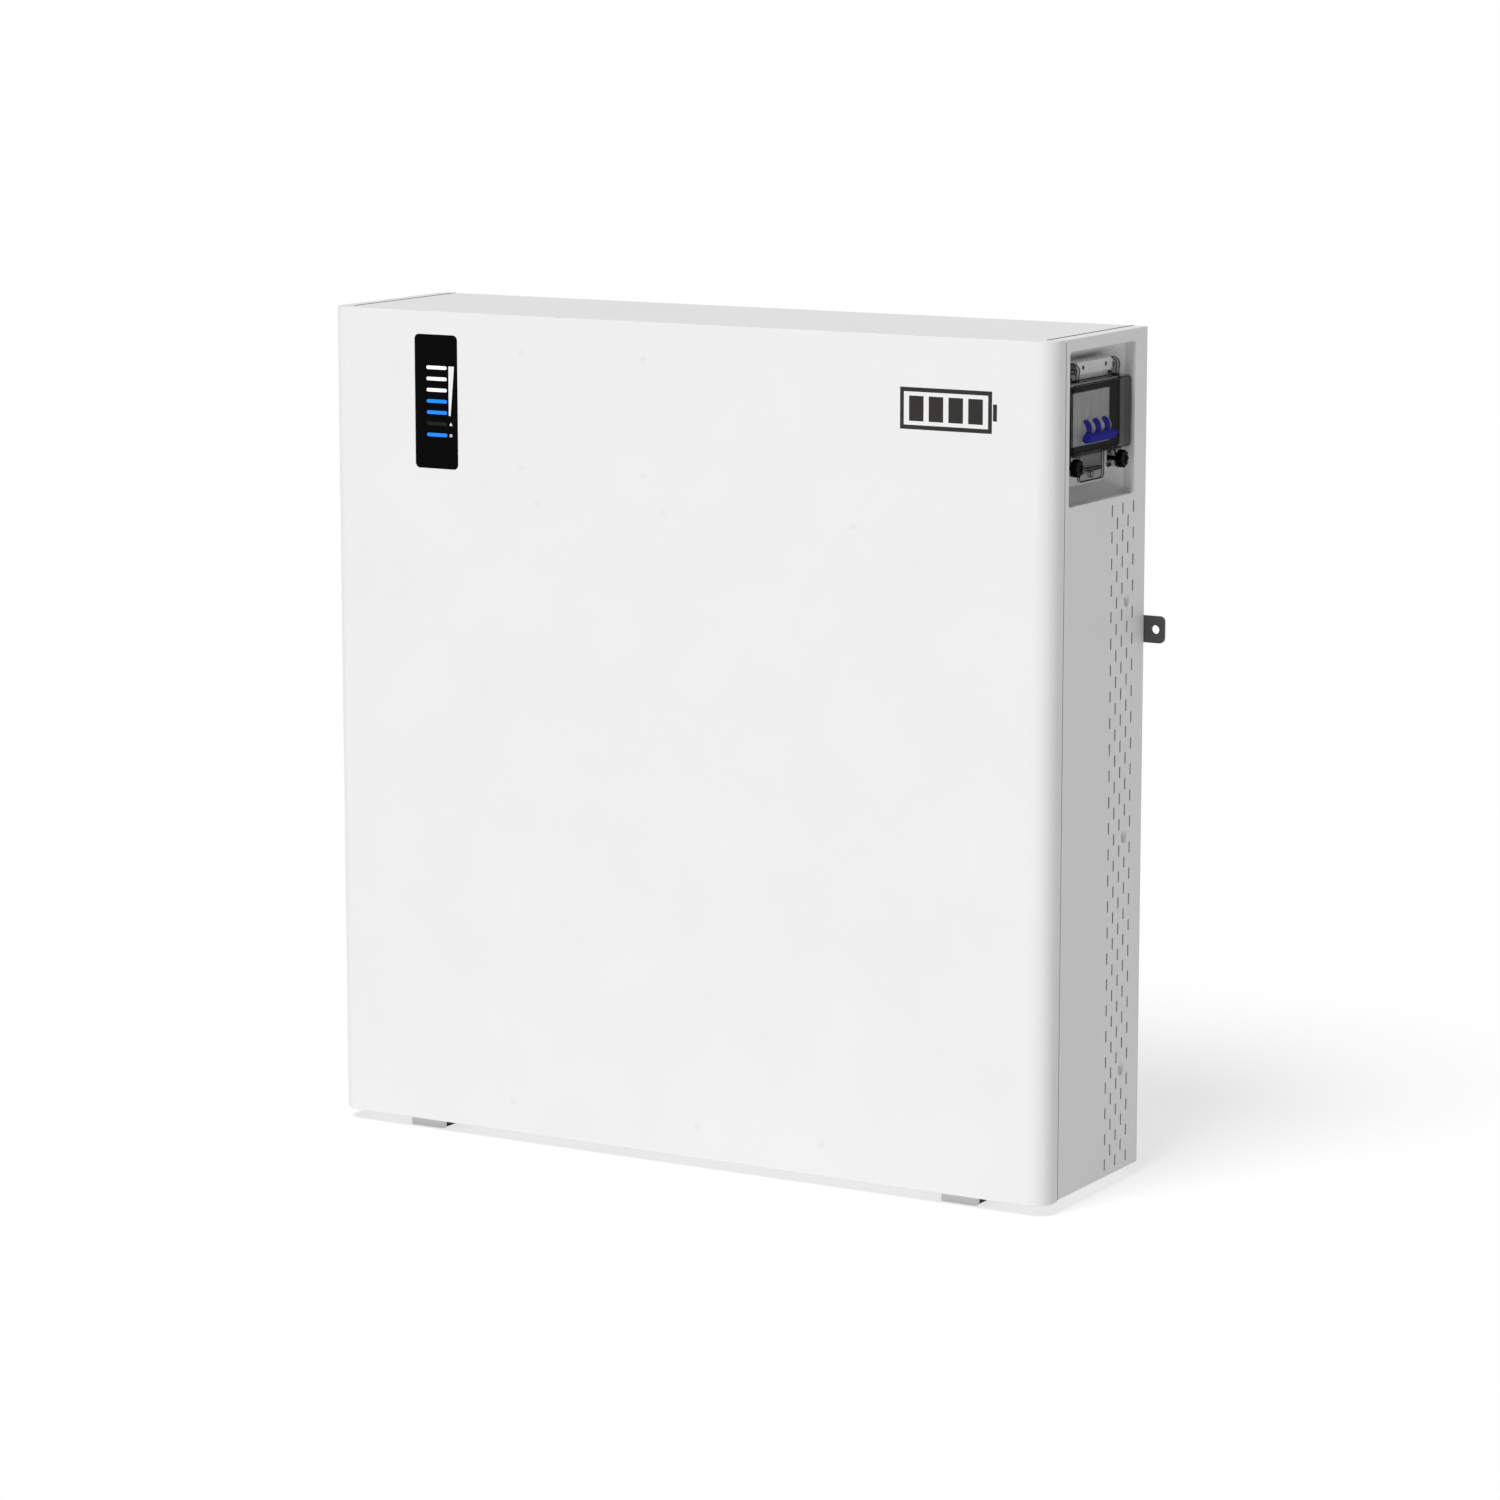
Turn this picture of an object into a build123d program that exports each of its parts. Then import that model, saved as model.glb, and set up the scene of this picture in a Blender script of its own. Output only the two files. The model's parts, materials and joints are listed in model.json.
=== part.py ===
"""Wall battery unit: sheet-metal cabinet, sixteen-series cell pack, breaker window, side connections.

Every piece is drawn in the cover frame: X to the right, Y backwards from the front face, Z up
from the cover's bottom edge.  Export moves it to the final frame, whose origin is the centre of
the unit's outline on the floor.
"""
from build123d import *
from math import cos, pi, sin
import os

# ---- cabinet ----
cover_width = 716.6
cover_height = 730.0
body_depth = 180.0
edge_radius = 17.5
sheet = 1.5
seam_depth = 24.5            # where the front cover's side returns end
seam_gap = 0.9
seal_rise = 0.25             # the rubber in the top joints stands this proud
bottom_step = 1.4            # the cover hangs this far below the body
foot_height = 10.0
rail_sheet = 3.0
side_x = cover_width / 2
side_flange = 13.3           # fold of the side covers, seen on the top
plate_x = 343.0              # half width of the top, bottom and back plates
side_front = seam_depth + seam_gap
body_back = body_depth - 0.15
inner_x = side_x - sheet
inner_top = cover_height - sheet
inner_bottom = bottom_step + sheet
total_depth = body_depth + rail_sheet

# ---- display ----
display_left, display_right = -268.7, -224.1
display_bottom, display_top = 591.6, 709.8
display_thick = 2.4
bar_left, bar_width, bar_height = -256.4, 21.1, 3.1
bar_corner = 1.4
bar_first, bar_pitch = 680.8, 9.88
wedge_low, wedge_high = 639.0, 682.5
inlay = 0.8                  # depth of the light bars and printed inlays
sign_x, sign_z = 259.6, 669.5
sign_width, sign_height, sign_line = 86.0, 35.0, 3.5

# ---- side pockets ----
pocket_y, pocket_z = 94.15, 654.95
pocket_width, pocket_height = 124.5, 129.5
pocket_radius = 3.5
lip_depth = 10.0
floor_depth = 23.5
wall_inset = 11.0
tray_flange = 4.5

# ---- breaker window ----
lid_half, lid_bottom, lid_top = 56.5, 630.4, 692.4
lid_outer, lid_rim = -0.8, 11.8
lid_wall = 1.8
mat_top = 687.2              # the sealing mat ends here, below the lid's top edge
tab_half, tab_bottom, ledge_z = 23.0, 607.0, 616.0
base_front = 12.7
base_step = 14.4             # back of the base's wide front plate
hinge_depth, hinge_z = 11.0, 701.0
pin_radius = 1.5
running_gap = 0.05
bar_half = 34.7              # half length of the hinge bar between the lid's ears
bar_screw_offset, bar_screw_z, bar_plug_radius = 21.5, 703.2, 2.1
ear_inner, ear_outer, ear_radius = 35.2, 41.0, 6.5
knob_offset, knob_z = 42.8, 621.3
knob_front, knob_back = -0.6, 5.6
boss_front, boss_back, boss_radius = 6.0, 15.8, 7.2
stud_radius, stud_tip = 2.0, 21.5

# ---- breaker ----
breaker_y, breaker_z = 94.9, 659.7
module_width = 17.5
breaker_half = 2 * module_width
nose_height, case_height = 45.0, 85.0
nose_depth, shoulder_depth, breaker_back = 11.4, 18.0, 62.0
pivot_depth, pivot_z = 16.6, 650.0
barrel_radius, barrel_width = 8.5, 9.6
lever_reach = 12.3           # pivot to the middle of the tie bar
handle_drop = 34.0           # degrees below level when switched off
pole_offsets = (-module_width / 2, module_width / 2, 1.5 * module_width)

# ---- cells and module ----
cell_height, cell_width, cell_thick = 118.5, 160.0, 50.0
cell_gap = 0.8
cells_high = 8
cell_pitch = cell_thick + cell_gap
cell_back = 174.5
cell_front = cell_back - cell_width
module_x = 150.0             # middle of each two-column module
rail_top = 24.2
end_plate = 12.0
cells_bottom = rail_top + 0.8 + end_plate + cell_gap
cells_top = cells_bottom + cells_high * cell_pitch - cell_gap
strap = 0.8
terminal_inset, terminal_height = 27.0, 2.5
terminals_x = module_x + 1.0 + cell_height + terminal_height

# ---- power deck ----
deck_z = 470.0
link_z = 520.0
copper_width, copper_thick = 20.0, 4.0
plus_y, minus_y = 70.0, 118.0
riser_x = 286.0              # upright bars beside the modules
clamp_x = 318.0              # the breaker's clamps

# ---- louvres and side screws ----
louvre_length, louvre_width = 10.3, 2.4
louvre_first_y, louvre_step_y = 115.0, 10.3
louvre_first_z, louvre_step_z = 11.75, 22.69
louvre_columns, louvre_rows = 5, 26
dimple_column, dimple_rows = 3, (3, 12, 21)
dimple_radius, dimple_depth = 6.5, 4.6
louvre_sheet = 0.6           # the sheet is coined down to this round each slot

# ---- connections in the left-hand pocket ----
socket_z, socket_mouth = 675.0, 5.5
socket_bore, socket_end = 8.0, 40.0
button_y, button_z = pocket_y, 643.0
button_radius, button_face, button_cup = 7.0, 13.0, 38.0
low_row_z = 618.0            # data ports, earth stud and vent
ground_y, vent_y = 132.0, 56.0
port_offset = 11.5

# ---- feet and wall rail ----
foot_x, foot_width, foot_front, foot_plate = 271.4, 34.3, 10.9, 5.7
skid_back = 165.0
rail_low, rail_high = 458.8, 482.0
rail_x, ear_hole_x, ear_hole_radius = 377.0, 368.7, 3.9

board_studs = [(-157.7, 697.6), (-33.9, 697.6), (-157.7, 597.4), (-33.9, 597.4)]
display_studs = [(-277.3, 681.0), (-218.0, 681.0), (-277.3, 624.0), (-218.0, 624.0)]
stiffener_studs = [(-142.3, 567.2), (-15.2, 567.2), (172.3, 567.2),
                   (-172.1, 28.2), (18.8, 28.2), (143.0, 28.2)]


# ---------------------------------------------------------------- drawing helpers
def block(x0, x1, y0, y1, z0, z1):
    """Axis-aligned block between two corners."""
    return Pos((x0 + x1) / 2, (y0 + y1) / 2, (z0 + z1) / 2) * Box(x1 - x0, y1 - y0, z1 - z0)


def on_side(depth, y=0.0, z=0.0):
    """Plane parallel to the right-hand side, `depth` inside it, facing outwards."""
    return Plane(origin=(side_x - depth, y, z), x_dir=(0, 1, 0), z_dir=(1, 0, 0))


def on_front(back, x=0.0, z=0.0):
    """Plane parallel to the front face, `back` behind it, facing forwards."""
    return Plane(origin=(x, back, z), x_dir=(1, 0, 0), z_dir=(0, -1, 0))


def side_panel(y, z, width, height, outer, inner, radius=0.0):
    """Block let into the right-hand side, from depth `outer` to depth `inner`."""
    outline = RectangleRounded(width, height, radius) if radius else Rectangle(width, height)
    return extrude(on_side(inner, y, z) * outline, inner - outer)


def side_span(y0, y1, z0, z1, outer, inner, radius=0.0):
    """side_panel given by its edges."""
    return side_panel((y0 + y1) / 2, (z0 + z1) / 2, y1 - y0, z1 - z0, outer, inner, radius)


def side_rod(y, z, radius, outer, inner):
    """Round bar square to the right-hand side."""
    return extrude(on_side(inner, y, z) * Circle(radius), inner - outer)


def front_panel(x0, x1, z0, z1, y0, y1, radius=0.0):
    """Block square to the front face, with its four outline corners rounded."""
    outline = RectangleRounded(x1 - x0, z1 - z0, radius) if radius else Rectangle(x1 - x0, z1 - z0)
    return extrude(on_front(y1, (x0 + x1) / 2, (z0 + z1) / 2) * outline, y1 - y0)


def front_rod(x, z, radius, y0, y1):
    """Round bar square to the front face."""
    return extrude(on_front(y1, x, z) * Circle(radius), y1 - y0)


def upright(x, y, radius, z0, z1):
    """Round bar standing upright."""
    return Pos(x, y, (z0 + z1) / 2) * Cylinder(radius, z1 - z0)


def other_side(shape):
    """Mirror image on the left-hand side."""
    return mirror(shape, about=Plane.YZ)


def both_sides(solids):
    """The solids and their mirror images, as a group."""
    return solids + [other_side(solid) for solid in solids]


def save(name, *solids):
    """Move the piece to the final frame and write it."""
    moved = [Pos(0, -total_depth / 2, foot_height) * solid for solid in solids]
    shape = moved[0] if len(moved) == 1 else Compound(children=moved)
    shape.label = name
    export_step(shape, f"parts/{name}.step")


# ---------------------------------------------------------------- cabinet
def rounded_slab(half_width, front, back, bottom, top, radius):
    """Slab whose two upright front edges are rounded."""
    slab = block(-half_width, half_width, front, back, bottom, top)
    edges = slab.edges().filter_by(Axis.Z).group_by(Axis.Y)[0]
    return fillet(edges, radius)


def battery_pictogram():
    """Generic battery sign: a rounded frame, a pole cap and four charge blocks."""
    frame = Rectangle(sign_width, sign_height)
    frame -= Rectangle(sign_width - 2 * sign_line, sign_height - 2 * sign_line)
    cap = Pos(sign_width / 2 + 2.8, 0) * Rectangle(3.6, 14.0)
    blocks = [Pos(-27.75 + 18.5 * step, 0) * Rectangle(13.5, 21.0) for step in range(4)]
    place = on_front(inlay / 2, sign_x, sign_z)
    return [extrude(place * part, inlay / 2) for part in [frame, cap] + blocks]


def front_cover():
    """Bent tray: flat front, rounded upright edges, short side returns."""
    tray = rounded_slab(side_x, 0, seam_depth, 0, cover_height, edge_radius)
    tray -= rounded_slab(inner_x, sheet, seam_depth + 1, -1, cover_height + 1, edge_radius - sheet)
    tray -= front_panel(display_left, display_right, display_bottom, display_top, -1, sheet + 1, 4.5)
    for piece in battery_pictogram():
        tray -= piece
    return tray


def end_plate_sheet(z):
    """Top or bottom plate: fills the cover's rounded corners, narrower between the side covers."""
    gap = 0.4
    corner = edge_radius - sheet - gap
    front = rounded_slab(inner_x - gap, sheet + gap, edge_radius + gap, z, z + sheet, corner)
    return front + block(-plate_x, plate_x, edge_radius, body_depth, z, z + sheet)


def screw_sites():
    """Flush screws of the top plate."""
    right_hand = [(336.0, 41.7), (336.0, 140.7), (274.5, 149.2)]
    return [(sign * x, y) for sign in (-1, 1) for x, y in right_hand]


def flush_screw(x, y):
    """Countersunk screw, its head level with the top plate."""
    head = Pos(x, y, cover_height - 0.7) * Cone(2.2, 3.6, 1.4)
    shank = upright(x, y, 1.9, inner_top - 9.0, cover_height - 1.3)
    socket = Pos(x, y, cover_height - 0.4) * extrude(RegularPolygon(1.4, 6), 1.0)
    return head + shank - socket


def top_plate():
    """Top plate with its countersunk holes."""
    plate = end_plate_sheet(inner_top)
    for x, y in screw_sites():
        plate -= Pos(x, y, cover_height - 0.7) * Cone(2.2, 3.6, 1.4)
        plate -= upright(x, y, 2.2, inner_top - 1, cover_height)
    return plate


def joint_seals():
    """Black rubber in the joints: beside the top plate, and between front cover and side covers."""
    gap = 0.05
    inner, outer = plate_x + gap, side_x - side_flange - gap
    along_top = block(inner, outer, edge_radius + 0.7, body_back, inner_top, cover_height + seal_rise)
    along_top = fillet(along_top.edges().filter_by(Axis.Y).group_by(Axis.Z)[-1], 0.4)
    down_side = block(inner_x, side_x - 0.15, seam_depth + gap, side_front - gap, bottom_step, inner_top)
    return both_sides([along_top, down_side])


def back_panel():
    """Back sheet, folded forwards along its top and bottom edges."""
    fold_half, fold_front = 320.0, body_depth - 14.0
    panel = block(-plate_x, plate_x, body_depth - sheet, body_depth, inner_bottom, inner_top)
    for low in (inner_bottom, inner_top - sheet):
        panel += block(-fold_half, fold_half, fold_front, body_depth - sheet, low, low + sheet)
    return panel


def corner_posts():
    """Four upright angles that carry the plates and the side covers."""
    height = (inner_bottom, inner_top - 10.0)
    front = block(331, plate_x, 22, 24, *height) + block(331, 333, 6, 24, *height)
    rear = block(331, plate_x, 162, 164, *height) + block(331, 333, 162, 178, *height)
    return both_sides([front, rear])


def louvre_slots():
    """Upright slots in staggered columns, left out where a screw dimple sits, coined wider at the back."""
    slots, coined = [], []
    for column in range(louvre_columns):
        staggered = column % 2
        for row in range(louvre_rows - staggered):
            if column == dimple_column and row in dimple_rows:
                continue
            y = louvre_first_y + column * louvre_step_y
            z = louvre_first_z + (row + staggered / 2) * louvre_step_z
            place = on_side(sheet + 1, y, z) * Rot(0, 0, 90)
            slots.append(place * SlotOverall(louvre_length, louvre_width))
            coined.append(place * SlotOverall(louvre_length + 2.0, louvre_width + 3.0))
    return extrude(Sketch() + slots, sheet + 2) + extrude(Sketch() + coined, sheet + 1 - louvre_sheet)


def dimple_sites():
    """Middles of the three screw dimples of a side cover."""
    y = louvre_first_y + dimple_column * louvre_step_y
    return [(y, louvre_first_z + (row + 0.5) * louvre_step_z) for row in dimple_rows]


def side_cover():
    """Folded side cover with pocket opening, louvres and pressed screw dimples."""
    cover = block(side_x - side_flange, side_x, side_front, body_back, bottom_step, cover_height)
    cover = fillet(cover.edges().filter_by(Axis.Z).group_by(Axis.X)[-1], 1.2)
    cover -= block(0, inner_x, side_front + sheet, body_back - sheet, inner_bottom, inner_top)
    tongue_outer = inner_x - 0.4
    cover += block(side_x - side_flange, tongue_outer, 18.1, side_front + 1, inner_top, cover_height)
    cover -= side_panel(pocket_y, pocket_z, pocket_width, pocket_height, -1, sheet + 1, pocket_radius)
    cover -= louvre_slots()
    ball = (dimple_radius ** 2 + dimple_depth ** 2) / (2 * dimple_depth)
    for y, z in dimple_sites():
        cover += side_rod(y, z, dimple_radius + 0.6, sheet, dimple_depth + 1.2)
        cover -= Pos(side_x + ball - dimple_depth, y, z) * Sphere(ball)
        cover -= side_rod(y, z, 3.2, 0, dimple_depth)
        cover -= side_rod(y, z, 2.1, 0, dimple_depth + 2)
    return cover


def side_screws():
    """Button-head screws at the bottom of the dimples."""
    screws = []
    for y, z in dimple_sites():
        head = side_rod(y, z, 3.0, dimple_depth - 1.4, dimple_depth)
        head = fillet(head.edges().group_by(Axis.X)[-1], 0.6)
        socket = extrude(on_side(dimple_depth - 0.6, y, z) * RegularPolygon(1.5, 6), 2.0)
        screws.append(head + side_rod(y, z, 2.0, dimple_depth, 14.0) - socket)
    return screws


def pocket_hollow(grow, back):
    """Straight mouth and tapered bottom of a pocket, enlarged by `grow`, down to depth `back`."""
    mouth = side_panel(pocket_y, pocket_z, pocket_width + 2 * grow, pocket_height + 2 * grow,
                       sheet, lip_depth, pocket_radius + grow)
    wide = RectangleRounded(pocket_width + 2 * grow, pocket_height + 2 * grow, pocket_radius + grow)
    narrow = RectangleRounded(pocket_width - 2 * wall_inset + 2 * grow,
                              pocket_height - 2 * wall_inset + 2 * grow, pocket_radius + grow)
    rim, bottom = on_side(lip_depth, pocket_y, pocket_z), on_side(back, pocket_y, pocket_z)
    return mouth + loft([rim * wide, bottom * narrow])


def pocket_tray():
    """Drawn tray behind a side cover's opening."""
    tray = pocket_hollow(sheet, floor_depth + sheet)
    tray += side_panel(pocket_y, pocket_z, pocket_width + 2 * tray_flange, pocket_height + 2 * tray_flange,
                       sheet, sheet + 1.2, pocket_radius + tray_flange)
    return tray - pocket_hollow(0, floor_depth)


def breaker_pocket_tray():
    """Tray with the cut-out that the breaker passes through."""
    return pocket_tray() - side_panel(breaker_y, breaker_z, 2 * breaker_half + 1.0, case_height + 1.0,
                                      floor_depth - 1, floor_depth + 3)


# ---------------------------------------------------------------- breaker window
def window_base():
    """Grey frame round the breaker, with hinge bar, lower flange and stud holes."""
    base = side_span(pocket_y - 57.1, pocket_y + 57.1, lid_bottom - 0.6, lid_top + 0.9,
                     base_front, base_step, 5)
    base += side_span(pocket_y - bar_half, pocket_y + bar_half, 618.0, 697.5, base_front, base_step, 1.5)
    base += side_span(pocket_y - 48.6, pocket_y + 48.6, 612.0, 706.0, base_step, floor_depth, 3)
    hinge_bar = side_span(pocket_y - bar_half, pocket_y + bar_half, 697.0, 708.8, 8.0, 17.0, 4.5)
    base += fillet(hinge_bar.faces().sort_by(Axis.X)[-1].edges(), 1.4)
    passage = 2 * breaker_half + 0.8
    base -= side_panel(breaker_y, breaker_z, passage, nose_height + 1, base_front - 1, floor_depth + 1)
    base -= side_panel(breaker_y, breaker_z, passage, case_height + 1, 15.4, floor_depth + 1)
    base -= seal_mat()
    base -= front_rod(side_x - hinge_depth, hinge_z, pin_radius, 0, body_depth)
    for y in bar_screw_sites():
        base -= side_rod(y, bar_screw_z, bar_plug_radius, 7.0, 9.2)
    for sign in (-1, 1):
        ear_middle = pocket_y + sign * (ear_inner + ear_outer) / 2
        base -= side_panel(ear_middle, 701.5, ear_outer - ear_inner + 1.0, 17.4, 6.0, 18.4)
        knob_y = pocket_y + sign * knob_offset
        base -= side_rod(knob_y, knob_z, boss_radius + 0.8, base_front - 1, boss_back + 0.8)
        base -= side_rod(knob_y, knob_z, stud_radius + 0.9, base_front - 1, stud_tip + 1.0)
    return base


def seal_mat():
    """Black sealing mat let into the base, from the lid's rim to the breaker's nose."""
    half = lid_half - 0.3
    mat = side_span(pocket_y - half, pocket_y + half, lid_bottom + 0.3, mat_top,
                    lid_rim + 0.3, base_front + 0.7, 4)
    return mat - side_panel(breaker_y, breaker_z, 2 * breaker_half + 0.8, nose_height + 1.0,
                            lid_rim, base_front + 1.0)


def bar_screw_sites():
    """Distances behind the front of the two screws in the hinge bar."""
    return [pocket_y - bar_screw_offset, pocket_y + bar_screw_offset]


def bar_plugs():
    """Black plugs over the hinge bar's screws."""
    return [side_rod(y, bar_screw_z, bar_plug_radius - 0.05, 8.2, 9.2) for y in bar_screw_sites()]


def hinge_pin():
    """Steel pin held by the base; the lid's ears turn on it."""
    return front_rod(side_x - hinge_depth, hinge_z, pin_radius, pocket_y - ear_outer, pocket_y + ear_outer)


def lid_shell():
    """Hollow rectangular window with soft outer edges."""
    middle_z, height = (lid_bottom + lid_top) / 2, lid_top - lid_bottom
    shell = side_panel(pocket_y, middle_z, 2 * lid_half, height, lid_outer, lid_rim, 6)
    shell = fillet(shell.faces().sort_by(Axis.X)[-1].edges(), 2.2)
    hollow = side_panel(pocket_y, middle_z, 2 * (lid_half - lid_wall), height - 2 * lid_wall,
                        lid_outer + lid_wall, lid_rim + 1, 4.2)
    return shell - hollow


def window_lid():
    """Smoked window with two hinge ears, two knob bosses and a lift tab."""
    lid = lid_shell()
    tab = side_span(pocket_y - tab_half, pocket_y + tab_half, tab_bottom, lid_bottom + 0.8, 9.6, lid_rim)
    corners = tab.edges().filter_by(Axis.X).group_by(Axis.Z)[0]
    tab = fillet(corners, 4.0) - side_rod(pocket_y, tab_bottom + 4.9, 2.6, 9, 13)
    lid += tab + side_span(pocket_y - 13, pocket_y + 13, ledge_z, ledge_z + 2, 6.6, 10)
    for sign in (-1, 1):
        ear_y = sorted((pocket_y + sign * ear_inner, pocket_y + sign * ear_outer))
        lid += front_rod(side_x - hinge_depth, hinge_z, ear_radius, *ear_y)
        lid += block(side_x - lid_rim, side_x - 5.2, *ear_y, lid_top - 1, hinge_z)
        knob_y = pocket_y + sign * knob_offset
        lid += side_rod(knob_y, knob_z, boss_radius, boss_front, boss_back)
        lid += side_span(knob_y - 5.5, knob_y + 5.5, knob_z, lid_bottom + 1.0, boss_front, lid_rim)
        lid -= side_rod(knob_y, knob_z, stud_radius + running_gap, 0, 20)
    return lid - front_rod(side_x - hinge_depth, hinge_z, pin_radius + running_gap, 0, body_depth)


def star_knob(sign):
    """Eight-lobed thumb screw, held in the lid's boss."""
    y = pocket_y + sign * knob_offset
    lobes = [Pos(6.0 * cos(step * pi / 4), 6.0 * sin(step * pi / 4)) * Circle(1.6) for step in range(8)]
    outline = Circle(6.4) + lobes
    head = extrude(on_side(knob_back, y, knob_z) * outline, knob_back - knob_front)
    head = chamfer(head.faces().sort_by(Axis.X)[-1].edges(), 0.4)
    head -= side_rod(y, knob_z, 3.4, knob_front - 1, knob_front + 0.7)
    return head + side_rod(y, knob_z, stud_radius, knob_back, stud_tip)


# ---------------------------------------------------------------- breaker
def breaker_case():
    """Four-module breaker body; the nose holds three round slots for the toggles."""
    case = side_panel(breaker_y, breaker_z, 2 * breaker_half, case_height, shoulder_depth, breaker_back)
    case += side_panel(breaker_y, breaker_z, 2 * breaker_half, nose_height, nose_depth, shoulder_depth)
    for step in range(1, 4):
        y = breaker_y - breaker_half + step * module_width
        case -= side_panel(y, breaker_z, 0.6, case_height + 5, nose_depth - 1, nose_depth + 0.8)
    rim = barrel_width / 2 + 2.6
    case += front_rod(side_x - pivot_depth, pivot_z, barrel_radius - 0.4,
                      breaker_y + pole_offsets[0] - rim, breaker_y + pole_offsets[-1] + rim)
    for offset_y in pole_offsets:
        y = breaker_y + offset_y
        slot = (y - barrel_width / 2 - 0.4, y + barrel_width / 2 + 0.4)
        case -= front_rod(side_x - pivot_depth, pivot_z, barrel_radius + 0.4, *slot)
        case -= side_span(*slot, pivot_z - 9.8, pivot_z + 9.8, nose_depth - 1, nose_depth + 1.2)
    return case - handle_shaft()


def handle_shaft():
    """Shaft through the three poles."""
    return front_rod(side_x - pivot_depth, pivot_z, pin_radius, breaker_y - 12, breaker_y + 33)


def breaker_handle():
    """Three toggles on round hubs, joined by a tie bar, drawn level and then dropped to off."""
    handle = None
    for offset_y in pole_offsets:
        hub = Pos(0, offset_y, 0) * Rot(90, 0, 0) * Cylinder(barrel_radius, barrel_width)
        lever = Pos(8.6, offset_y, 0) * Box(5.0, 7.0, 4.0)
        handle = hub + lever if handle is None else handle + hub + lever
    bar_middle = (pole_offsets[0] + pole_offsets[-1]) / 2
    tie_bar = Pos(lever_reach, bar_middle, 0) * Box(5.0, 52.6, 8.0)
    handle += fillet(tie_bar.edges().filter_by(Axis.Y), 1.5)
    handle -= Rot(90, 0, 0) * Cylinder(pin_radius + running_gap, 200)
    return Pos(side_x - pivot_depth, breaker_y, pivot_z) * Rot(0, handle_drop, 0) * handle


def din_rail():
    """Top-hat rail, 35 mm wide, behind the breaker."""
    rail = side_span(30, 170, breaker_z - 17.5, breaker_z + 17.5, breaker_back, breaker_back + 1.0)
    web = side_span(30, 170, breaker_z - 12.5, breaker_z + 12.5, breaker_back, breaker_back + 7.5)
    groove = side_span(29, 171, breaker_z - 11.5, breaker_z + 11.5, breaker_back - 1, breaker_back + 6.5)
    return rail + web - groove


def rail_brackets():
    """Two angles that carry the rail from the tray's floor."""
    brackets = []
    for sign in (-1, 1):
        y = pocket_y + sign * 46.0
        web = side_panel(y, breaker_z, 2.0, 40.0, floor_depth + sheet, breaker_back)
        foot = side_panel(y, breaker_z, 8.0, 40.0, floor_depth + sheet, floor_depth + sheet + 2.0)
        brackets.append(web + foot)
    return brackets


# ---------------------------------------------------------------- display
def bar_z(step):
    """Height of a level bar, counted from the top."""
    return bar_first - step * bar_pitch


def display_bar(step):
    """One of the seven level bars."""
    low = bar_z(step) - bar_height / 2
    return front_panel(bar_left, bar_left + bar_width, low, low + bar_height, 0, inlay, bar_corner)


def display_icons():
    """Warning triangle and running disc beside the two lowest bars."""
    x = bar_left + bar_width + 4.0
    triangle = Polyline((-1.7, -1.2), (1.7, -1.2), (0, 1.7), close=True)
    alarm = extrude(on_front(inlay, x, bar_z(5)) * make_face(triangle), inlay)
    run = front_rod(x, bar_z(6), 1.4, 0, inlay) - front_rod(x, bar_z(6), 0.7, -1, inlay + 1)
    return [alarm, run]


def charge_wedge():
    """Tapered level mark beside the charge bars, widest at the top."""
    left = bar_left + bar_width + 1.9
    points = [(left, wedge_low), (left + 1.9, wedge_low), (left + 5.9, wedge_high), (left, wedge_high)]
    return extrude(on_front(inlay) * make_face(Polyline(*points, close=True)), inlay)


def display_panel():
    """Black front glass of the display, with recesses for its bars and signs."""
    panel = front_panel(display_left + 0.1, display_right - 0.1, display_bottom + 0.1,
                        display_top - 0.1, 0, display_thick, 4.4)
    for step in range(7):
        panel -= display_bar(step)
    for icon in display_icons():
        panel -= icon
    return panel - charge_wedge()


def light_guide():
    """Clear comb that leads the lamps' light to the bars."""
    spine = front_panel(bar_left - 6, bar_left - 3, bar_z(6) - 3, bar_z(0) + 3, display_thick, 6.0)
    for step in range(7):
        z = bar_z(step)
        spine += front_panel(bar_left - 4, bar_left + bar_width, z - 2, z + 2, display_thick, 6.0)
    return spine


def display_board():
    """Lamp board on its four studs, with one lamp behind each bar."""
    board = front_panel(-283.0, -212.0, 590.0, 712.0, 9.5, 11.1, 3)
    for x, z in display_studs:
        board -= front_rod(x, z, 1.7, 9, 12)
    for step in range(7):
        z = bar_z(step)
        board += front_panel(bar_left + 8, bar_left + 13, z - 1.5, z + 1.5, 8.0, 9.5)
    return board


# ---------------------------------------------------------------- electronics on the cover
def cover_studs():
    """Welded studs behind the front cover; the boards hang on the upper ones."""
    studs = []
    for x, z in board_studs + display_studs:
        studs.append(front_rod(x, z, 3.0, sheet, 9.5) + front_rod(x, z, 1.5, 9.5, 14.0))
    for x, z in stiffener_studs:
        studs.append(front_rod(x, z, 2.5, sheet, 9.5))
    return studs


def stud_nuts():
    """Hexagon nuts that hold the two boards."""
    nuts = []
    for x, z in board_studs + display_studs:
        nut = extrude(on_front(13.3, x, z) * RegularPolygon(3.2, 6), 2.2)
        nuts.append(nut - front_rod(x, z, 1.5, 10, 14))
    return nuts


def bms_board():
    """Battery management board with its chips and plug sockets."""
    board = front_panel(-165.8, -25.8, 589.5, 705.5, 9.5, 11.1, 4)
    for x, z in board_studs:
        board -= front_rod(x, z, 1.7, 9, 12)
    for step in range(4):
        board += front_panel(-148 + 30 * step, -128 + 30 * step, 600, 610, 11.1, 18.0)
    for step in range(3):
        board += front_panel(-145 + 34 * step, -131 + 34 * step, 676, 690, 11.1, 12.6)
    return board


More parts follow.
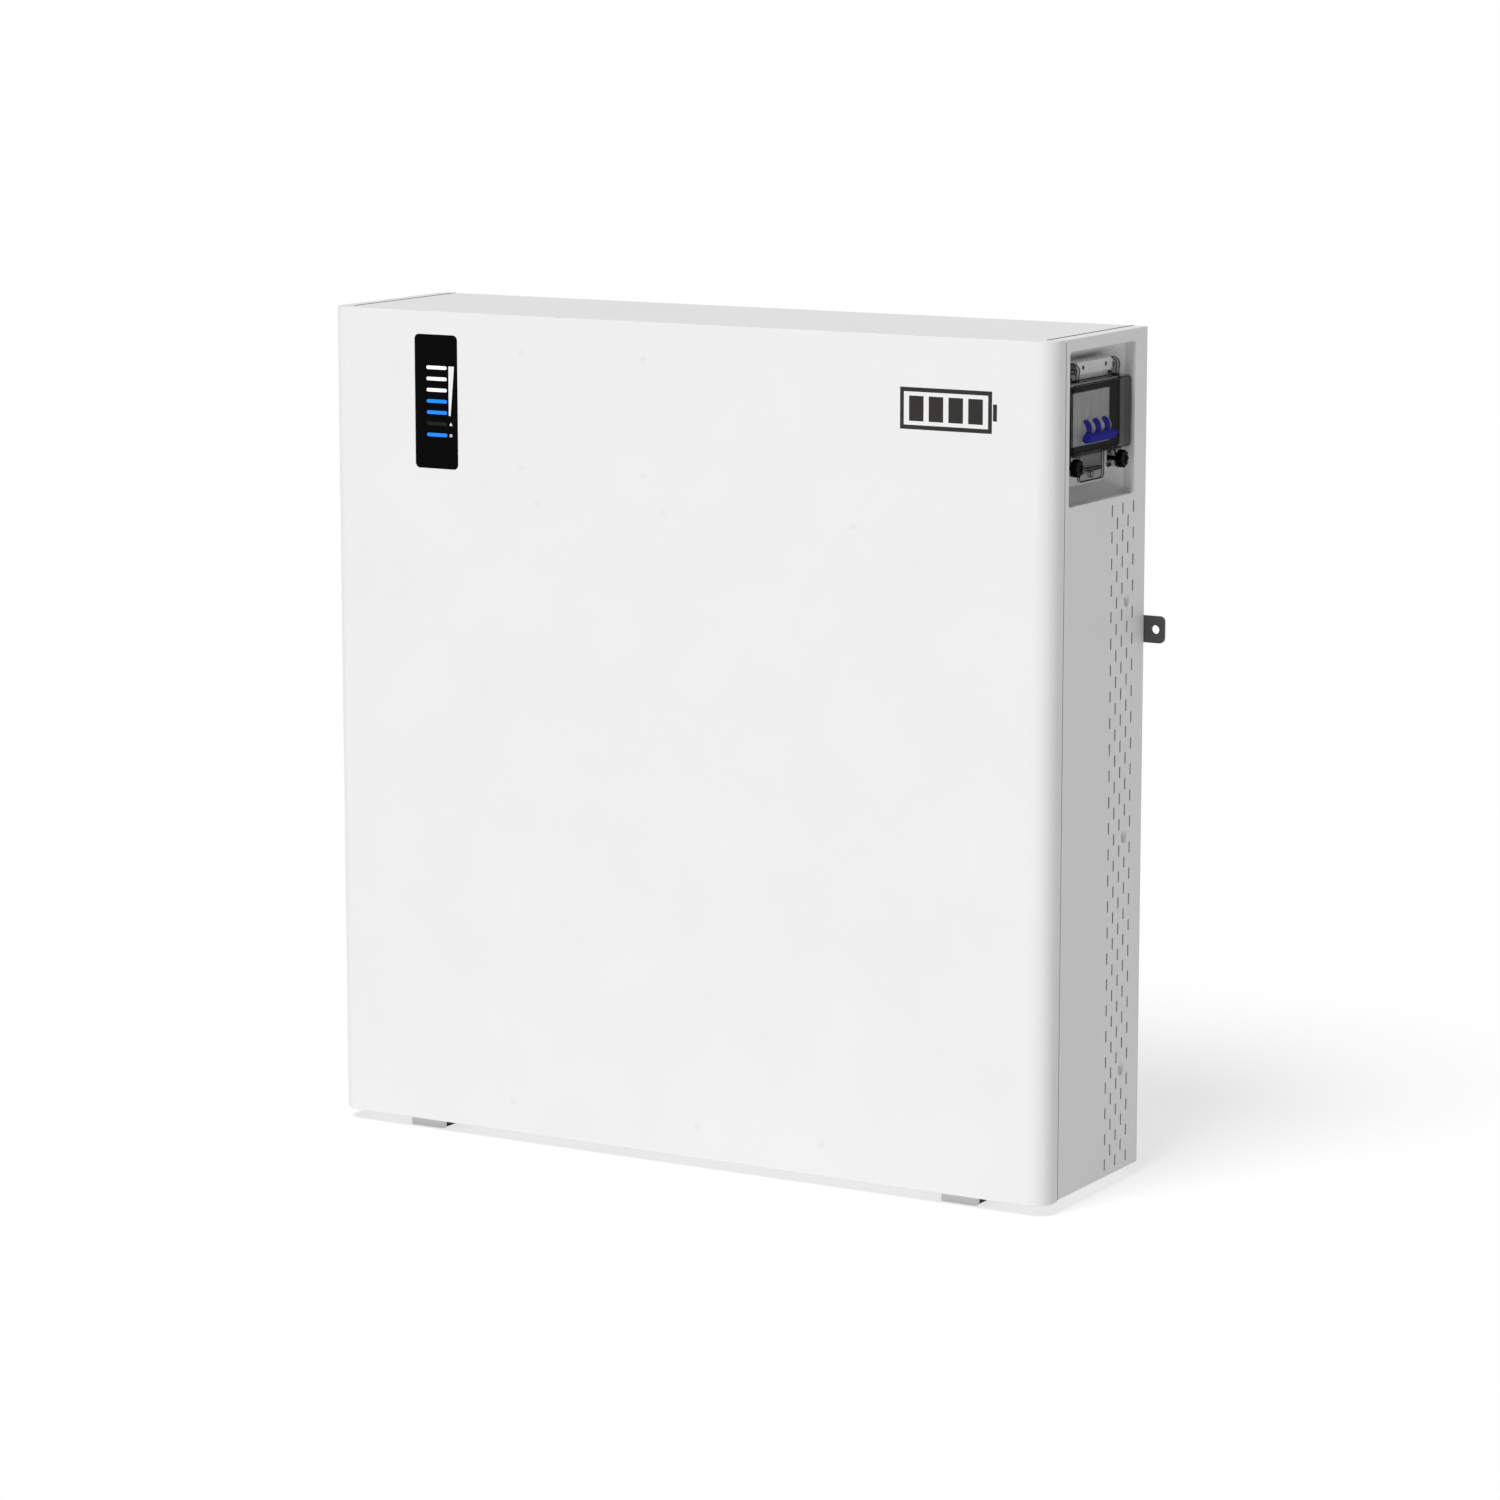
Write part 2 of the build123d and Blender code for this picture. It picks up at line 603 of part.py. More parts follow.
def bms_heatsink():
    """Finned aluminium block behind the switching transistors."""
    sink = front_panel(-145, -47, 616, 668, 11.1, 15.1)
    for step in range(10):
        x = -145 + step * (98 - 2.0) / 9
        sink += front_panel(x, x + 2.0, 616, 668, 15.1, 38.0)
    return sink


# ---------------------------------------------------------------- cell modules
def cell_columns_x():
    """Left edge and terminal direction of the four columns, left to right."""
    inner, outer = module_x - 1.0 - cell_height, module_x + 1.0
    return [(-outer - cell_height, -1), (-inner - cell_height, 1), (inner, -1), (outer, 1)]


def cell(left, facing, level):
    """Prismatic cell lying on its broad face, its two terminals on the side it faces."""
    bottom = cells_bottom + level * cell_pitch
    can = block(left, left + cell_height, cell_front, cell_back, bottom, bottom + cell_thick)
    can = fillet(can.edges().filter_by(Axis.X), 3.0)
    face = left + cell_height if facing > 0 else left
    x0, x1 = sorted((face, face + facing * terminal_height))
    for y in (cell_front + terminal_inset, cell_back - terminal_inset):
        can += block(x0, x1, y - 11, y + 11, bottom + 14, bottom + 36)
    return can


def cell_column(number):
    """Eight cells, one above the other."""
    left, facing = cell_columns_x()[number]
    return [cell(left, facing, level) for level in range(cells_high)]


def cell_separators():
    """Thin insulating sheets between neighbouring cells."""
    sheets = []
    for left, _ in cell_columns_x():
        for level in range(1, cells_high):
            z = cells_bottom + level * cell_pitch
            x0, x1 = left + 1, left + cell_height - 1
            sheets.append(block(x0, x1, cell_front + 4, cell_back - 4, z - cell_gap, z))
    return sheets


def module_end_plates():
    """Thick aluminium plates under and over each module."""
    plates = []
    half = cell_height + 1.0
    for low in (rail_top + 0.8, cells_top + cell_gap):
        plates.append(block(module_x - half, module_x + half, cell_front, cell_back, low, low + end_plate))
    return both_sides(plates)


def module_straps():
    """Steel bands round each module and its end plates."""
    low, high = rail_top + 0.8, cells_top + cell_gap + end_plate
    bands = []
    for offset_x in (-62.0, 62.0):
        x0, x1 = module_x + offset_x - 8, module_x + offset_x + 8
        band = block(x0, x1, cell_front - strap, cell_back + strap, low - strap, high + strap)
        bands.append(band - block(x0 - 1, x1 + 1, cell_front, cell_back, low, high))
    return both_sides(bands)


def link(x0, x1, y, low, high):
    """Copper link over two neighbouring terminals, rounded at its corners."""
    bar = block(x0, x1, y - 9, y + 9, low, high)
    return fillet(bar.edges().filter_by(Axis.X), 4.0)


def cell_links():
    """Copper links: they join the cells of each column in series."""
    links = []
    front_y, back_y = cell_front + terminal_inset, cell_back - terminal_inset
    for left, facing in cell_columns_x():
        face = left + cell_height + terminal_height if facing > 0 else left - terminal_height
        x0, x1 = sorted((face, face + facing * 2.0))
        for level in range(cells_high - 1):
            y = front_y if level % 2 == 0 else back_y
            low = cells_bottom + level * cell_pitch + 15
            links.append(link(x0, x1, y, low, low + cell_pitch + 20))
    return links


def contact_covers():
    """Plastic covers over the links of each column."""
    covers = []
    for left, facing in cell_columns_x():
        face = left + cell_height + 5.0 if facing > 0 else left - 5.0
        x0, x1 = sorted((face, face + facing * 3.0))
        plate = block(x0, x1, cell_front + 6, cell_back - 6, cells_bottom + 4, cells_top - 4)
        plate -= block(x0 - 1, x1 + 1, 56, 133, cells_bottom + 30, cells_top - 30)
        covers.append(plate)
    return covers


def module_rails():
    """Two square tubes across the bottom plate that carry the modules."""
    rails = []
    for y in (52.0, 132.0):
        tube = block(-325, 325, y - 15, y + 15, inner_bottom, rail_top)
        rails.append(tube - block(-326, 326, y - 13, y + 13, inner_bottom + 2, rail_top - 2))
    return rails


def centre_post():
    """Square post between the modules, from the bottom plate to the deck."""
    post = block(-10, 10, 82, 102, inner_bottom, deck_z)
    return post - block(-8, 8, 84, 100, inner_bottom - 1, deck_z + 1)


# ---------------------------------------------------------------- power deck
def power_deck():
    """Shelf over the modules, folded down at the front, with two openings for the copper bars."""
    deck = block(-330, 330, 24.5, 161.0, deck_z, deck_z + 2)
    deck += block(-330, 330, 24.5, 26.5, deck_z - 12, deck_z)
    for x, y in ((riser_x, plus_y), (-riser_x, minus_y)):
        deck -= block(x - 8, x + 8, y - 16, y + 16, deck_z - 1, deck_z + 3)
    return deck


def copper_run(points, y):
    """Flat bar along a stepped path in the XZ plane, its width along Y."""
    half = copper_thick / 2
    bar = None
    for (x0, z0), (x1, z1) in zip(points, points[1:]):
        piece = block(min(x0, x1) - half, max(x0, x1) + half, y - copper_width / 2, y + copper_width / 2,
                      min(z0, z1) - half, max(z0, z1) + half)
        bar = piece if bar is None else bar + piece
    return bar


def battery_run(y, sign):
    """Bar from a module's last terminal up through the deck to the fuse or shunt."""
    x, end = sign * riser_x, sign * 212.0
    tab = block(*sorted((sign * (terminals_x + 2.0), x)), y - 10, y + 10, 400, 404)
    return copper_run([(x, 402), (x, link_z), (end, link_z)], y) + tab


def breaker_run(y, sign):
    """Bar from the fuse or shunt to the breaker's lower clamps."""
    start = sign * 154.0
    turn, shelf_z = sign * 136.0, 560.0
    end_z = breaker_z - case_height / 2 - copper_thick / 2
    path = [(start, link_z), (turn, link_z), (turn, shelf_z), (clamp_x, shelf_z), (clamp_x, end_z)]
    return copper_run(path, y)


def socket_run(y):
    """Bar from the breaker's upper clamps across to the side sockets."""
    left, ceiling_z = -(side_x - 62.0), 716.0
    start_z = breaker_z + case_height / 2 + copper_thick / 2
    return copper_run([(clamp_x, start_z), (clamp_x, ceiling_z), (left, ceiling_z), (left, 690)], y)


def main_fuse():
    """Ceramic fuse between its two blades."""
    body = block(160, 206, plus_y - 15, plus_y + 15, 508, 538)
    body = fillet(body.edges().filter_by(Axis.X), 6.0)
    for left in (140, 206):
        body += block(left, left + 20, plus_y - 9, plus_y + 9, 522, 525)
    return body


def current_shunt():
    """Two brass blocks joined by resistance strips."""
    shunt = block(-226, -200, minus_y - 11, minus_y + 11, 522, 532)
    shunt += block(-166, -140, minus_y - 11, minus_y + 11, 522, 532)
    for step in range(4):
        y = minus_y - 9 + 6 * step
        shunt += block(-201, -165, y - 0.8, y + 0.8, 524, 530)
    return shunt


def deck_insulators():
    """Round insulators that hold the bars' ends above the deck."""
    sites = [(218, plus_y), (148, plus_y), (-218, minus_y), (-148, minus_y)]
    return [upright(x, y, 9.0, deck_z + 2, link_z - copper_thick / 2) for x, y in sites]


def deck_bolts():
    """Hexagon heads over the fuse blades and the shunt blocks."""
    sites = [(216, plus_y, 525), (150, plus_y, 525), (-213, minus_y, 532), (-153, minus_y, 532)]
    return [Pos(x, y, z) * extrude(RegularPolygon(6.5, 6), 5.0) for x, y, z in sites]


# ---------------------------------------------------------------- left-hand connection pocket
def terminal_pocket_tray():
    """Closed tray with round holes for the sockets, the button, the stud and the vent."""
    tray = pocket_tray()
    for y in (plus_y, minus_y):
        tray -= side_rod(y, socket_z, 10.6, floor_depth - 1, floor_depth + 3)
    tray -= side_rod(button_y, button_z, 9.0, floor_depth - 1, floor_depth + 3)
    tray -= side_rod(ground_y, low_row_z, 3.0, floor_depth - 1, floor_depth + 3)
    tray -= side_rod(vent_y, low_row_z, 5.0, floor_depth - 1, floor_depth + 3)
    tray -= side_panel(pocket_y, low_row_z, 44.0, 16.0, floor_depth - 1, floor_depth + 3)
    return other_side(tray)


def power_socket(y):
    """Round power socket: collar, square flange and rear barrel round one bore."""
    shape = side_rod(y, socket_z, 13.0, socket_mouth, 20.5)
    shape = chamfer(shape.edges().group_by(Axis.X)[-1], 0.8)
    shape += side_panel(y, socket_z, 32.0, 32.0, 20.5, floor_depth, 4)
    shape += side_rod(y, socket_z, 10.5, floor_depth, 48.0)
    shape -= side_rod(y, socket_z, socket_bore, socket_mouth - 1, socket_end)
    return other_side(shape - side_rod(y, socket_z, 5.0, socket_end - 1, 49.0))


def socket_contacts():
    """Brass contacts at the bottom of the two sockets."""
    return [other_side(side_rod(y, socket_z, 5.0, socket_end, 60.0)) for y in (plus_y, minus_y)]


def port_block():
    """Housing of the two data ports; the rubber caps close its mouths."""
    housing = side_panel(pocket_y, low_row_z, 48.0, 20.0, 14.0, floor_depth, 2)
    housing += side_panel(pocket_y, low_row_z, 43.0, 15.0, floor_depth, 38.0)
    for sign in (-1, 1):
        housing -= side_panel(pocket_y + sign * port_offset, low_row_z, 15.0, 12.0, 13.0, 30.0)
    return other_side(housing)


def port_caps():
    """Rubber plugs of the data ports, each with a pull rim."""
    caps = []
    for sign in (-1, 1):
        y = pocket_y + sign * port_offset
        plug = side_panel(y, low_row_z, 14.9, 11.9, 14.0, 26.0)
        rim = side_panel(y, low_row_z, 18.0, 15.0, 11.5, 14.0, 2)
        caps.append(other_side(plug + rim))
    return caps


def button_housing():
    """Collar and rear cup that guide the power button."""
    housing = side_rod(button_y, button_z, 12.0, 17.0, floor_depth)
    housing += side_rod(button_y, button_z, 8.9, floor_depth, 40.0)
    housing -= side_rod(button_y, button_z, button_radius + running_gap, 16.0, button_cup)
    return other_side(housing)


def power_button():
    """Push button: cap with a shallow dish, hollow behind for its spring."""
    button = side_rod(button_y, button_z, button_radius, button_face, 29.0)
    button = fillet(button.edges().group_by(Axis.X)[-1], 0.8)
    button -= Pos(side_x - button_face + 29.0, button_y, button_z) * Sphere(29.6)
    return other_side(button - side_rod(button_y, button_z, 5.4, 19.0, 30.0))


def button_spring():
    """Return spring between the button and the cup's bottom."""
    free_length = button_cup - 19.0
    path = Helix(pitch=free_length / 6.0, height=free_length - 1.4, radius=4.2)
    section = Plane(origin=path @ 0, z_dir=path % 0) * Circle(0.5)
    coil = sweep(section, path)
    return other_side(on_side(button_cup - 0.7, button_y, button_z) * coil)


def earth_stud():
    """Earthing stud with its hexagon nut and washer."""
    stud = side_rod(ground_y, low_row_z, 3.0, 9.5, 34.0)
    stud += side_rod(ground_y, low_row_z, 6.2, 22.3, floor_depth)
    stud += extrude(on_side(22.3, ground_y, low_row_z) * RegularPolygon(5.7, 6), 4.0)
    return other_side(stud)


def vent_valve():
    """Pressure valve: hexagon collar under a round cap."""
    valve = extrude(on_side(floor_depth, vent_y, low_row_z) * RegularPolygon(8.6, 6), 4.0)
    valve += side_rod(vent_y, low_row_z, 7.6, 14.5, 18.6)
    valve += side_rod(vent_y, low_row_z, 6.4, 18.0, 20.0)
    valve += side_rod(vent_y, low_row_z, 4.95, floor_depth, 32.0)
    return other_side(valve)


# ---------------------------------------------------------------- feet and wall fixing
def foot_plates():
    """White front blocks of the two feet."""
    plate = block(foot_x - foot_width / 2, foot_x + foot_width / 2, foot_front, foot_front + foot_plate,
                  -foot_height, bottom_step)
    return both_sides([fillet(plate.edges().filter_by(Axis.Z).group_by(Axis.Y)[0], 1.0)])


def foot_skids():
    """Black rubber skids behind the front blocks."""
    half = foot_width / 2 - 1
    skid = block(foot_x - half, foot_x + half, foot_front + foot_plate, skid_back, -foot_height, bottom_step)
    return both_sides([skid])


def rail_screw_sites():
    """Screws that hold the wall rail to the back panel."""
    return [(sign * x, (rail_low + rail_high) / 2) for sign in (-1, 1) for x in (120.0, 300.0)]


def wall_rail():
    """Steel strip across the back; its two ends stand out as fixing ears."""
    rail = front_panel(-rail_x, rail_x, rail_low, rail_high, body_depth, total_depth, 4.5)
    middle_z = (rail_low + rail_high) / 2
    for x in (-ear_hole_x, ear_hole_x):
        rail -= front_rod(x, middle_z, ear_hole_radius, body_depth - 1, total_depth + 1)
    for x, z in rail_screw_sites():
        rail -= front_rod(x, z, 2.6, body_depth - 1, total_depth + 1)
    return rail


def rail_screws():
    """Rivet nuts and screws through the rail, level with its back."""
    return [front_rod(x, z, 2.6, body_depth, total_depth) for x, z in rail_screw_sites()]


def back_bumpers():
    """Two rubber bumpers that keep the bottom as far off the wall as the rail does the top."""
    return both_sides([front_rod(271.4, 60.0, 12.0, body_depth, total_depth)])


def main():
    os.makedirs("parts", exist_ok=True)
    save("front_cover", front_cover())
    save("top_plate", top_plate())
    save("joint_seals", *joint_seals())
    save("bottom_plate", end_plate_sheet(bottom_step))
    save("back_panel", back_panel())
    save("inner_frame", *corner_posts(), *module_rails(), centre_post())
    save("side_cover_right", side_cover())
    save("side_cover_left", other_side(side_cover()))
    save("top_screws", *[flush_screw(x, y) for x, y in screw_sites()])
    save("cabinet_screws", *both_sides(side_screws()), *rail_screws())
    save("breaker_pocket_tray", breaker_pocket_tray())
    save("window_base", window_base())
    save("window_gasket", seal_mat(), *bar_plugs())
    save("hinge_pin", hinge_pin())
    save("window_lid", window_lid())
    save("knob_front", star_knob(-1))
    save("knob_rear", star_knob(1))
    save("breaker_case", breaker_case())
    save("breaker_handle", breaker_handle())
    save("handle_shaft", handle_shaft())
    save("din_rail", din_rail(), *rail_brackets())
    save("display_panel", display_panel())
    save("charge_bars_white", *[display_bar(step) for step in range(3)])
    save("charge_bars_blue", *[display_bar(step) for step in (3, 4)])
    save("alarm_bar", display_bar(5))
    save("run_bar", display_bar(6))
    save("display_marks", charge_wedge(), *display_icons())
    save("light_guide", light_guide())
    save("display_board", display_board())
    save("battery_sign", *battery_pictogram())
    save("cover_studs", *cover_studs())
    save("bms_board", bms_board())
    save("bms_heatsink", bms_heatsink())
    save("cells_left", *cell_column(0), *cell_column(1))
    save("cells_right", *cell_column(2), *cell_column(3))
    save("cell_insulation", *cell_separators(), *contact_covers())
    save("module_clamps", *module_end_plates(), *module_straps())
    save("cell_links", *cell_links())
    save("power_deck", power_deck())
    save("positive_busbar", battery_run(plus_y, 1), breaker_run(plus_y, 1), socket_run(plus_y))
    save("negative_busbar", battery_run(minus_y, -1), breaker_run(minus_y, -1), socket_run(minus_y))
    save("main_fuse", main_fuse())
    save("current_shunt", current_shunt())
    save("deck_insulators", *deck_insulators())
    save("inner_fasteners", *stud_nuts(), *deck_bolts())
    save("terminal_pocket_tray", terminal_pocket_tray())
    save("positive_socket", power_socket(plus_y))
    save("negative_socket", power_socket(minus_y))
    save("socket_contacts", *socket_contacts())
    save("port_block", port_block())
    save("port_caps", *port_caps())
    save("button_housing", button_housing())
    save("power_button", power_button())
    save("button_spring", button_spring())
    save("earth_stud", earth_stud())
    save("vent_valve", vent_valve())
    save("foot_plates", *foot_plates())
    save("foot_skids", *foot_skids())
    save("wall_rail", wall_rail())
    save("back_bumpers", *back_bumpers())


main()
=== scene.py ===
"""Looks of the wall battery unit: camera, studio, powder coat, plastics, smoked window and metals."""
import json
from math import cos, radians, sin

import bmesh
import bpy
from mathutils import Matrix, Vector

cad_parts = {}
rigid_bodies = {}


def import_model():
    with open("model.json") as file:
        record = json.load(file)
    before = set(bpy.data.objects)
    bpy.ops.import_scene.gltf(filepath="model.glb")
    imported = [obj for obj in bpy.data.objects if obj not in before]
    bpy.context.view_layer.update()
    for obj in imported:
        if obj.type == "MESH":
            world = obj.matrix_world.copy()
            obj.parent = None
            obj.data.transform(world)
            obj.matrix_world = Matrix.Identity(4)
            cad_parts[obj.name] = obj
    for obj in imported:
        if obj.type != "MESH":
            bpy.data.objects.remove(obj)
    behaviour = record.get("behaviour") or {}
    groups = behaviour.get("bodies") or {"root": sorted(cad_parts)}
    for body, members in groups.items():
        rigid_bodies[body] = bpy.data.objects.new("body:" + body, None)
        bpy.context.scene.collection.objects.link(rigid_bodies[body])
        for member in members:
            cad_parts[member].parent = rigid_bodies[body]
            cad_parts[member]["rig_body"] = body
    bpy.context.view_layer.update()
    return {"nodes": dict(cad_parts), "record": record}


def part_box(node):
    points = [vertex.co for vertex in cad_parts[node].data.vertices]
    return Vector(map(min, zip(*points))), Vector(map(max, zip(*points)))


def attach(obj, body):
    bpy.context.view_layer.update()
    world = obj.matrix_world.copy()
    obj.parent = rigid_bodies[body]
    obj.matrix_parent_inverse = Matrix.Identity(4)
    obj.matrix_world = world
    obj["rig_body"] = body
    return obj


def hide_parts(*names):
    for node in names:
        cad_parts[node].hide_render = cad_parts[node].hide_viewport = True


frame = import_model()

nodes = frame["nodes"]
MM = 0.001

# Camera: angles in degrees, distances in metres, lens and sensor in millimetres
AZIMUTH, ELEVATION = 29.96, 9.78
DISTANCE = 4.438
AIM_X, AIM_Y = 0.0165, 0.005
AIM_BELOW_MIDDLE = 0.0169
LENS, SENSOR = 120.96, 36.0
FAR_CLIP = 500.0

# Studio: directions point at the lamp, its spread is in degrees, lengths are in metres
SKY_STRENGTH = 0.3
KEY_FROM = (-0.05, -0.56, 0.86)
KEY_STRENGTH = 3.6
KEY_SPREAD = 26.0
FLOOR_REACH = 150.0
FLOOR_DROP = 0.0002
FLOOR_GREY = 0.25
FLOOR_GLOW = 0.68

# Cleaning of the CAD meshes in metres, and rounding of their edges in millimetres
WELD_DISTANCE = 2e-6
FLAT_ANGLE = radians(0.4)
CREASE_ANGLE = radians(35)
BEVEL_ANGLE = radians(38)
EDGE_WIDTHS = {
    "front_cover": 0.5, "side_cover_right": 0.12, "side_cover_left": 0.12, "top_plate": 0.3,
    "bottom_plate": 0.3, "back_panel": 0.3, "breaker_pocket_tray": 0.4, "terminal_pocket_tray": 0.4,
    "window_base": 0.3, "breaker_case": 0.35, "wall_rail": 0.35, "foot_plates": 0.5, "foot_skids": 0.8,
}

# Dark beads on the smoked lid's edges: painted shade where the light runs along the lid's thickness
BEAD_RADIUS = 0.4 * MM
BEAD_ANGLE = radians(40)

# Weld marks on the front: x and z of each, in millimetres
MARK_SITES = (
    (-157.7, 707.6), (-33.9, 707.6), (-157.7, 607.4), (-33.9, 607.4),
    (-142.3, 577.2), (-15.2, 577.2), (172.3, 577.2),
    (-172.1, 38.2), (18.8, 38.2), (143.0, 38.2),
)
MARK_RADIUS, MARK_TOP_RADIUS = 3.2 * MM, 3.0 * MM
MARK_HEIGHT = 0.1 * MM


# ---------------------------------------------------------------- camera and studio
def add_object(name, data):
    """New object in the scene."""
    made = bpy.data.objects.new(name, data)
    bpy.context.scene.collection.objects.link(made)
    return made


def add_camera():
    """Long-lens camera at the photograph's viewing angle, aimed near the middle of the unit."""
    azimuth, elevation = radians(AZIMUTH), radians(ELEVATION)
    low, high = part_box("front_cover")
    aim = Vector((AIM_X, AIM_Y, (low.z + high.z) / 2 - AIM_BELOW_MIDDLE))
    away = Vector((sin(azimuth) * cos(elevation), -cos(azimuth) * cos(elevation), sin(elevation)))
    data = bpy.data.cameras.new("camera")
    data.lens = LENS
    data.sensor_width = SENSOR
    data.clip_end = FAR_CLIP
    camera = add_object("camera", data)
    camera.location = aim + DISTANCE * away
    camera.rotation_euler = (-away).to_track_quat("-Z", "Y").to_euler()
    bpy.context.scene.camera = camera


def add_sun(name, towards, strength, spread):
    """Broad soft lamp shining from the direction `towards`."""
    data = bpy.data.lights.new(name, "SUN")
    data.energy = strength
    data.angle = radians(spread)
    lamp = add_object(name, data)
    lamp.rotation_euler = Vector(towards).to_track_quat("Z", "Y").to_euler()


def add_floor():
    """Pale floor that glows a little, so that it stays white."""
    mesh = bpy.data.meshes.new("floor")
    near, far = -FLOOR_REACH, FLOOR_REACH
    mesh.from_pydata([(near, near, 0), (far, near, 0), (far, far, 0), (near, far, 0)], [], [(0, 1, 2, 3)])
    floor = add_object("floor", mesh)
    floor.location.z = -FLOOR_DROP
    material = bpy.data.materials.new("floor")
    material.use_nodes = True
    shader = material.node_tree.nodes["Principled BSDF"]
    shader.inputs["Base Color"].default_value = (FLOOR_GREY, FLOOR_GREY, FLOOR_GREY, 1.0)
    shader.inputs["Roughness"].default_value = 0.9
    shader.inputs["Specular IOR Level"].default_value = 0.1
    shader.inputs["Emission Color"].default_value = (1.0, 1.0, 1.0, 1.0)
    shader.inputs["Emission Strength"].default_value = FLOOR_GLOW
    mesh.materials.append(material)


def add_studio():
    """White surroundings, one broad key from the front left above, and a pale floor."""
    world = bpy.data.worlds.new("studio")
    bpy.context.scene.world = world
    world.use_nodes = True
    background = world.node_tree.nodes["Background"]
    background.inputs["Color"].default_value = (1.0, 1.0, 1.0, 1.0)
    background.inputs["Strength"].default_value = SKY_STRENGTH
    add_sun("key", KEY_FROM, KEY_STRENGTH, KEY_SPREAD)
    add_floor()
    view = bpy.context.scene.view_settings
    view.view_transform = "Standard"
    view.look = "None"


# ---------------------------------------------------------------- materials
class Surface:
    """A Principled material whose colour, roughness and relief come from seeded noise in metres."""

    def __init__(self, name, color, roughness, **sockets):
        self.material = bpy.data.materials.new(name)
        self.material.use_nodes = True
        self.tree = self.material.node_tree
        self.shader = self.tree.nodes["Principled BSDF"]
        self.color = color
        self.roughness = roughness
        self.set("Base Color", (*color, 1.0))
        self.set("Roughness", roughness)
        for socket, value in sockets.items():
            self.set(socket.replace("_", " "), value)
        self.place = self.node("ShaderNodeTexCoord").outputs["Object"]
        self.relief = None

    def node(self, kind, **settings):
        made = self.tree.nodes.new(kind)
        for key, value in settings.items():
            setattr(made, key, value)
        return made

    def set(self, socket, value):
        self.shader.inputs[socket].default_value = value

    def link(self, output, socket):
        self.tree.links.new(output, socket)

    def stretched(self, scale):
        """The object's coordinates, scaled unevenly for brushed or drawn surfaces."""
        mapping = self.node("ShaderNodeMapping")
        mapping.inputs["Scale"].default_value = scale
        self.link(self.place, mapping.inputs["Vector"])
        return mapping.outputs["Vector"]

    def noise(self, size, detail=2.0, scale=None):
        """Noise whose blotches are about `size` metres across."""
        texture = self.node("ShaderNodeTexNoise")
        texture.inputs["Scale"].default_value = 1.0 / size
        texture.inputs["Detail"].default_value = detail
        self.link(self.stretched(scale) if scale else self.place, texture.inputs["Vector"])
        return texture.outputs["Fac"]

    def span(self, value, low, high, start=0.3, end=0.7):
        """value, mapped from start..end onto low..high."""
        node = self.node("ShaderNodeMapRange")
        for socket, number in (("From Min", start), ("From Max", end), ("To Min", low), ("To Max", high)):
            node.inputs[socket].default_value = number
        self.link(value, node.inputs["Value"])
        return node.outputs["Result"]

    def mottle(self, size, amount, scale=None):
        """Slight lighter and darker clouds."""
        ramp = self.node("ShaderNodeMix", data_type="RGBA")
        ramp.inputs["A"].default_value = (*[max(0.0, part * (1 - amount)) for part in self.color], 1.0)
        ramp.inputs["B"].default_value = (*[min(1.0, part * (1 + amount)) for part in self.color], 1.0)
        self.link(self.span(self.noise(size, 3.0, scale), 0.0, 1.0), ramp.inputs["Factor"])
        self.link(ramp.outputs["Result"], self.shader.inputs["Base Color"])
        return self

    def gloss(self, size, amount, scale=None):
        """Roughness that wanders by `amount`."""
        low, high = max(0.02, self.roughness - amount), min(1.0, self.roughness + amount)
        self.link(self.span(self.noise(size, 3.0, scale), low, high), self.shader.inputs["Roughness"])
        return self

    def grain(self, size, depth, strength=1.0, scale=None):
        """Fine relief, `depth` metres high; several calls add up."""
        bump = self.node("ShaderNodeBump")
        bump.inputs["Strength"].default_value = strength
        bump.inputs["Distance"].default_value = depth
        self.link(self.noise(size, 2.0, scale), bump.inputs["Height"])
        if self.relief is not None:
            self.link(self.relief, bump.inputs["Normal"])
        self.relief = bump.outputs["Normal"]
        self.link(self.relief, self.shader.inputs["Normal"])
        return self


def powder_coat(name, color):
    """Satin powder coat: faint orange peel over a very even colour."""
    coat = Surface(name, color, 0.46, Specular_IOR_Level=0.35)
    coat.mottle(0.09, 0.012).gloss(0.004, 0.05)
    return coat.grain(0.0011, 0.00003, 0.5).grain(0.004, 0.00008, 0.25)


def moulded(name, color, roughness=0.42, relief=0.00002, **sockets):
    """Moulded plastic with a spark-eroded texture."""
    plastic = Surface(name, color, roughness, **sockets)
    return plastic.mottle(0.012, 0.06).gloss(0.003, 0.06).grain(0.0005, relief, 0.6)


def rubber(name):
    """Matt black rubber with a dusty bloom."""
    surface = Surface(name, (0.014, 0.014, 0.015), 0.72, Specular_IOR_Level=0.3)
    return surface.mottle(0.006, 0.35).gloss(0.002, 0.1).grain(0.0006, 0.00004, 0.6)


def steel(name, color, roughness, along=(1.0, 1.0, 14.0)):
    """Bare or plated steel, lightly drawn along one direction."""
    surface = Surface(name, color, roughness, Metallic=1.0)
    return surface.mottle(0.01, 0.12, along).gloss(0.004, 0.09, along).grain(0.0007, 0.00001, 0.5, along)


def copper_like(name, color):
    """Bare copper or brass with a slightly tarnished sheen."""
    surface = Surface(name, color, 0.3, Metallic=1.0)
    return surface.mottle(0.02, 0.22).gloss(0.006, 0.12).grain(0.0008, 0.00001, 0.5, (8.0, 1.0, 1.0))


def lamp_window(name, color, glow):
    """Diffusing window of a lamp; glow is how brightly it is lit."""
    surface = Surface(name, color, 0.5, Specular_IOR_Level=0.1)
    surface.set("Emission Color", (*color, 1.0))
    surface.set("Emission Strength", glow)
    return surface.mottle(0.003, 0.05).grain(0.0004, 0.00001, 0.4)


